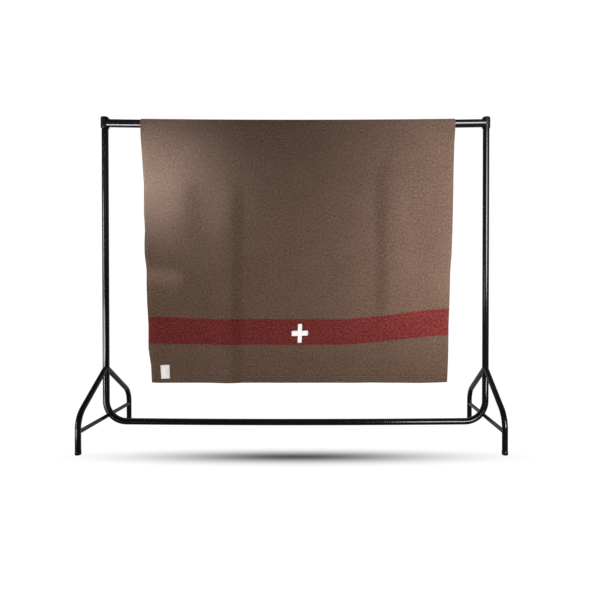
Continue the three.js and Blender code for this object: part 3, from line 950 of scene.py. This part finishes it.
def blanket():
    """A fine grid laid over the rail on the cloth's folds, then thickened."""
    stations = along_stations()
    rows = len(stations) - 1
    bpy.ops.object.select_all(action="DESELECT")
    bpy.ops.mesh.primitive_grid_add(x_subdivisions=CLOTH_COLUMNS, y_subdivisions=rows, size=1)
    piece = open_piece("wool_blanket")
    bpy.ops.object.mode_set(mode="OBJECT")
    across, row = np.meshgrid(np.linspace(0, 1, CLOTH_COLUMNS + 1), np.arange(rows + 1))
    along = stations[row]
    places = cloth_places(across, along)
    piece.data.vertices.foreach_set("co", places.reshape(-1))
    flat = np.stack([across * CLOTH_WIDTH, along, np.zeros_like(along)], axis=-1)
    pattern = piece.data.attributes.new("cloth", "FLOAT_VECTOR", "POINT")
    pattern.data.foreach_set("vector", flat.reshape(-1))
    thick = piece.modifiers.new("thickness", "SOLIDIFY")
    thick.thickness = CLOTH_THICKNESS
    thick.offset = 0.0
    bpy.ops.object.modifier_apply(modifier=thick.name)
    finish_piece(piece, "wool", "blanket")
    return piece


# Sewn-on pieces


def corner_arc(middle, along, left, radius, first, last):
    """Points round a corner: an angle of 0 is along, and a quarter turn is to the left."""
    angles = np.linspace(first, last, CORNER_STEPS)
    return middle + radius * (np.outer(np.cos(angles), along) + np.outer(np.sin(angles), left))


def arm_tip(arm, half, reach, rounding):
    """The rounded end of one arm of an outline, from its right corner to its left one."""
    along = np.array([arm.across, arm.up])
    left = np.array([-arm.up, arm.across])
    middle = along * (reach - rounding) + left * arm.shift
    out = left * (half - rounding)
    right_corner = corner_arc(middle - out, along, left, rounding, -math.pi / 2, 0.0)
    left_corner = corner_arc(middle + out, along, left, rounding, 0.0, math.pi / 2)
    return np.concatenate([right_corner, left_corner])


def cross_outline(inset):
    """The cross's edge, or the line a little way in from it."""
    rounding = max(CROSS_ROUNDING - inset, LEAST_ROUNDING)
    points = []
    for arm, following in zip(CROSS_ARMS, CROSS_ARMS[1:] + CROSS_ARMS[:1]):
        half = arm.half - inset
        points.append(arm_tip(arm, half, arm.reach - inset, rounding))
        points.append([[
            arm.across * (following.half - inset) - arm.up * half,
            arm.up * (following.half - inset) + arm.across * half,
        ]])
    return np.concatenate(points)


def label_outline(inset):
    """The label's edge, or the line a little way in from it."""
    half = LABEL_WIDTH / 2 - inset
    tips = [Arm(0, way, LABEL_HEIGHT / 2 - inset, half, 0.0) for way in (1, -1)]
    return np.concatenate([arm_tip(tip, tip.half, tip.reach, LABEL_ROUNDING) for tip in tips])


def on_cloth(points, place, lean, out):
    """Points across and up on a sewn-on piece, turned, set on the front's face and moved out from it."""
    x = place[0] + points[:, 0] * math.cos(lean) - points[:, 1] * math.sin(lean)
    z = place[1] + points[:, 0] * math.sin(lean) + points[:, 1] * math.cos(lean)
    return np.stack([x, face_at(x, z) - out, z], axis=-1)


def piece_from(name, points, faces):
    """A new closed piece from its points and faces."""
    bpy.ops.object.select_all(action="DESELECT")
    bpy.ops.mesh.primitive_plane_add()
    piece = open_piece(name)
    bpy.ops.object.mode_set(mode="OBJECT")
    piece.data.clear_geometry()
    piece.data.from_pydata(points, [], faces)
    bpy.ops.object.mode_set(mode="EDIT")
    close_ends()
    return piece


def sewn_piece(name, outline_at, steps, place, lean):
    """A piece of cloth from loops of its outline, from its back round its edge to its middle."""
    loops = [on_cloth(outline_at(step.inset), place, lean, step.out) for step in steps]
    count = len(loops[0])
    around = np.arange(count)
    following = np.roll(around, -1)
    faces = [around.tolist()]
    for row in range(len(loops) - 1):
        low, high = row * count, (row + 1) * count
        sides = [low + around, low + following, high + following, high + around]
        faces += np.stack(sides, axis=-1).tolist()
    faces.append((high + around).tolist())
    return piece_from(name, np.concatenate(loops), faces)


def stitches(name, outline, stitch, place, lean, out):
    """Short rounded stitches along a closed line on a sewn-on piece."""
    bpy.ops.object.select_all(action="DESELECT")
    bpy.ops.mesh.primitive_uv_sphere_add(segments=STITCH_SIDES, ring_count=STITCH_RINGS, radius=1)
    model = bpy.context.object
    one = np.array([point.co for point in model.data.vertices])
    faces = [list(face.vertices) for face in model.data.polygons]
    closed = np.vstack([outline, outline[:1]])
    lengths = np.hypot(*np.diff(closed, axis=0).T)
    reached = np.concatenate([[0.0], np.cumsum(lengths)])
    count = round(reached[-1] / stitch.step)
    places = np.arange(count) * reached[-1] / count
    points = []
    whole = []
    for begin in places:
        ends = np.array([begin - stitch.half, begin + stitch.half]) % reached[-1]
        flat = np.stack([np.interp(ends, reached, closed[:, side]) for side in (0, 1)], axis=-1)
        first, last = on_cloth(flat, place, lean, out)
        along = (last - first) / 2
        across = np.cross(along, [0.0, 1.0, 0.0])
        across *= THREAD_RADIUS / np.linalg.norm(across)
        outwards = np.array([0.0, THREAD_RADIUS, 0.0])
        whole += [[len(one) * len(points) + corner for corner in face] for face in faces]
        points.append((first + last) / 2 + one @ np.array([across, outwards, along]))
    bpy.data.objects.remove(model)
    return piece_from(name, np.concatenate(points), whole)


def sewn_on_pieces():
    """The felt cross and the label, each with the stitches that hold it."""
    cross = sewn_piece("felt_cross", cross_outline, CROSS_STEPS, CROSS_PLACE, 0.0)
    finish_piece(cross, "felt", "cross_patch")
    line = cross_outline(CROSS_STITCH.inset)
    cross_thread = stitches("cross_stitches", line, CROSS_STITCH, CROSS_PLACE, 0.0, FELT_THICKNESS)
    finish_piece(cross_thread, "felt", look=FINISHES["thread"])
    label = sewn_piece("woven_label", label_outline, LABEL_STEPS, LABEL_PLACE, LABEL_LEAN)
    finish_piece(label, "tape", "label")
    line = label_outline(LABEL_STITCH.inset)
    label_thread = stitches(
        "label_stitches", line, LABEL_STITCH, LABEL_PLACE, LABEL_LEAN, LABEL_THICKNESS
    )
    finish_piece(label_thread, "tape", look=FINISHES["thread"])
    tall = CROSS_ARMS[0].reach + CROSS_ARMS[2].reach
    wide = CROSS_ARMS[1].reach + CROSS_ARMS[3].reach
    bar = CROSS_ARMS[1].half + CROSS_ARMS[3].half
    upright_width = CROSS_ARMS[0].half + CROSS_ARMS[2].half
    area = tall * upright_width + wide * bar - bar * upright_width


# Stage


def stage_floor():
    bpy.ops.object.select_all(action="DESELECT")
    bpy.ops.mesh.primitive_plane_add(size=FLOOR_SIZE)
    floor = bpy.context.object
    floor.name = "studio_floor"
    floor.data.materials.append(floor_finish())
    floor.visible_diffuse = False
    floor.visible_glossy = False


def add_lamp(name, lamp):
    light = bpy.data.lights.new(name, "AREA")
    light.shape = "RECTANGLE"
    light.size = lamp.wide
    light.size_y = lamp.tall
    light.spread = math.radians(lamp.beam)
    light.energy = lamp.watts
    light.color = lamp.tint
    lit = bpy.data.objects.new(name, light)
    lit.location = lamp.place
    lit.rotation_euler = (Vector(lamp.aim) - Vector(lamp.place)).to_track_quat("-Z", "Y").to_euler()
    lit.visible_camera = False
    lit.visible_diffuse = not lamp.gloss_only
    lit.visible_glossy = lamp.gloss_only
    bpy.context.scene.collection.objects.link(lit)


def stage_lights():
    for name, lamp in LAMPS.items():
        add_lamp(name, lamp)


def stage_world():
    """White behind the object, a soft light from all sides that is weaker overhead, and less in the gloss."""
    studio = Finish("studio", "worlds")
    bpy.context.scene.world = studio.made
    _, away, up = studio.split(studio.node("ShaderNodeTexCoord", {}, {}, "Generated"))
    level = studio.ease(up, WORLD_LEVEL[0], WORLD_LEVEL[1], WORLD_LIGHT, WORLD_OVERHEAD)
    path = studio.tree.nodes.new("ShaderNodeLightPath")

    def background(strength):
        return studio.node("ShaderNodeBackground", {}, {"Color": STUDIO_WHITE, "Strength": strength})

    def either(share, first, second):
        chosen = Value(studio, path.outputs[share])
        return studio.node("ShaderNodeMixShader", {}, {0: chosen, 1: first, 2: second})

    gloss = studio.ease(away, WORLD_BEHIND[0], WORLD_BEHIND[1], WORLD_GLOSS, WORLD_BACKDROP)
    lit = either("Is Glossy Ray", background(level), background(gloss))
    seen = either("Is Camera Ray", lit, background(WORLD_SEEN))
    studio.feed(studio.tree.nodes["World Output"].inputs[0], seen)


def camera():
    lens = bpy.data.cameras.new("camera")
    lens.sensor_width = SENSOR
    lens.lens = CAMERA_FOCUS * SENSOR / PICTURE
    lens.shift_x = (PICTURE / 2 - CAMERA_MIDDLE[0]) / PICTURE
    lens.shift_y = (CAMERA_MIDDLE[1] - PICTURE / 2) / PICTURE
    eye = bpy.data.objects.new("camera", lens)
    eye.location = CAMERA_PLACE
    eye.rotation_euler = (math.pi / 2 - CAMERA_PITCH, 0, 0)
    bpy.context.scene.collection.objects.link(eye)
    bpy.context.scene.camera = eye
    bpy.context.scene.view_settings.view_transform = "Standard"


camera()
clothes_rail()
cloth = blanket()
sewn_on_pieces()
stage_floor()
stage_lights()
stage_world()
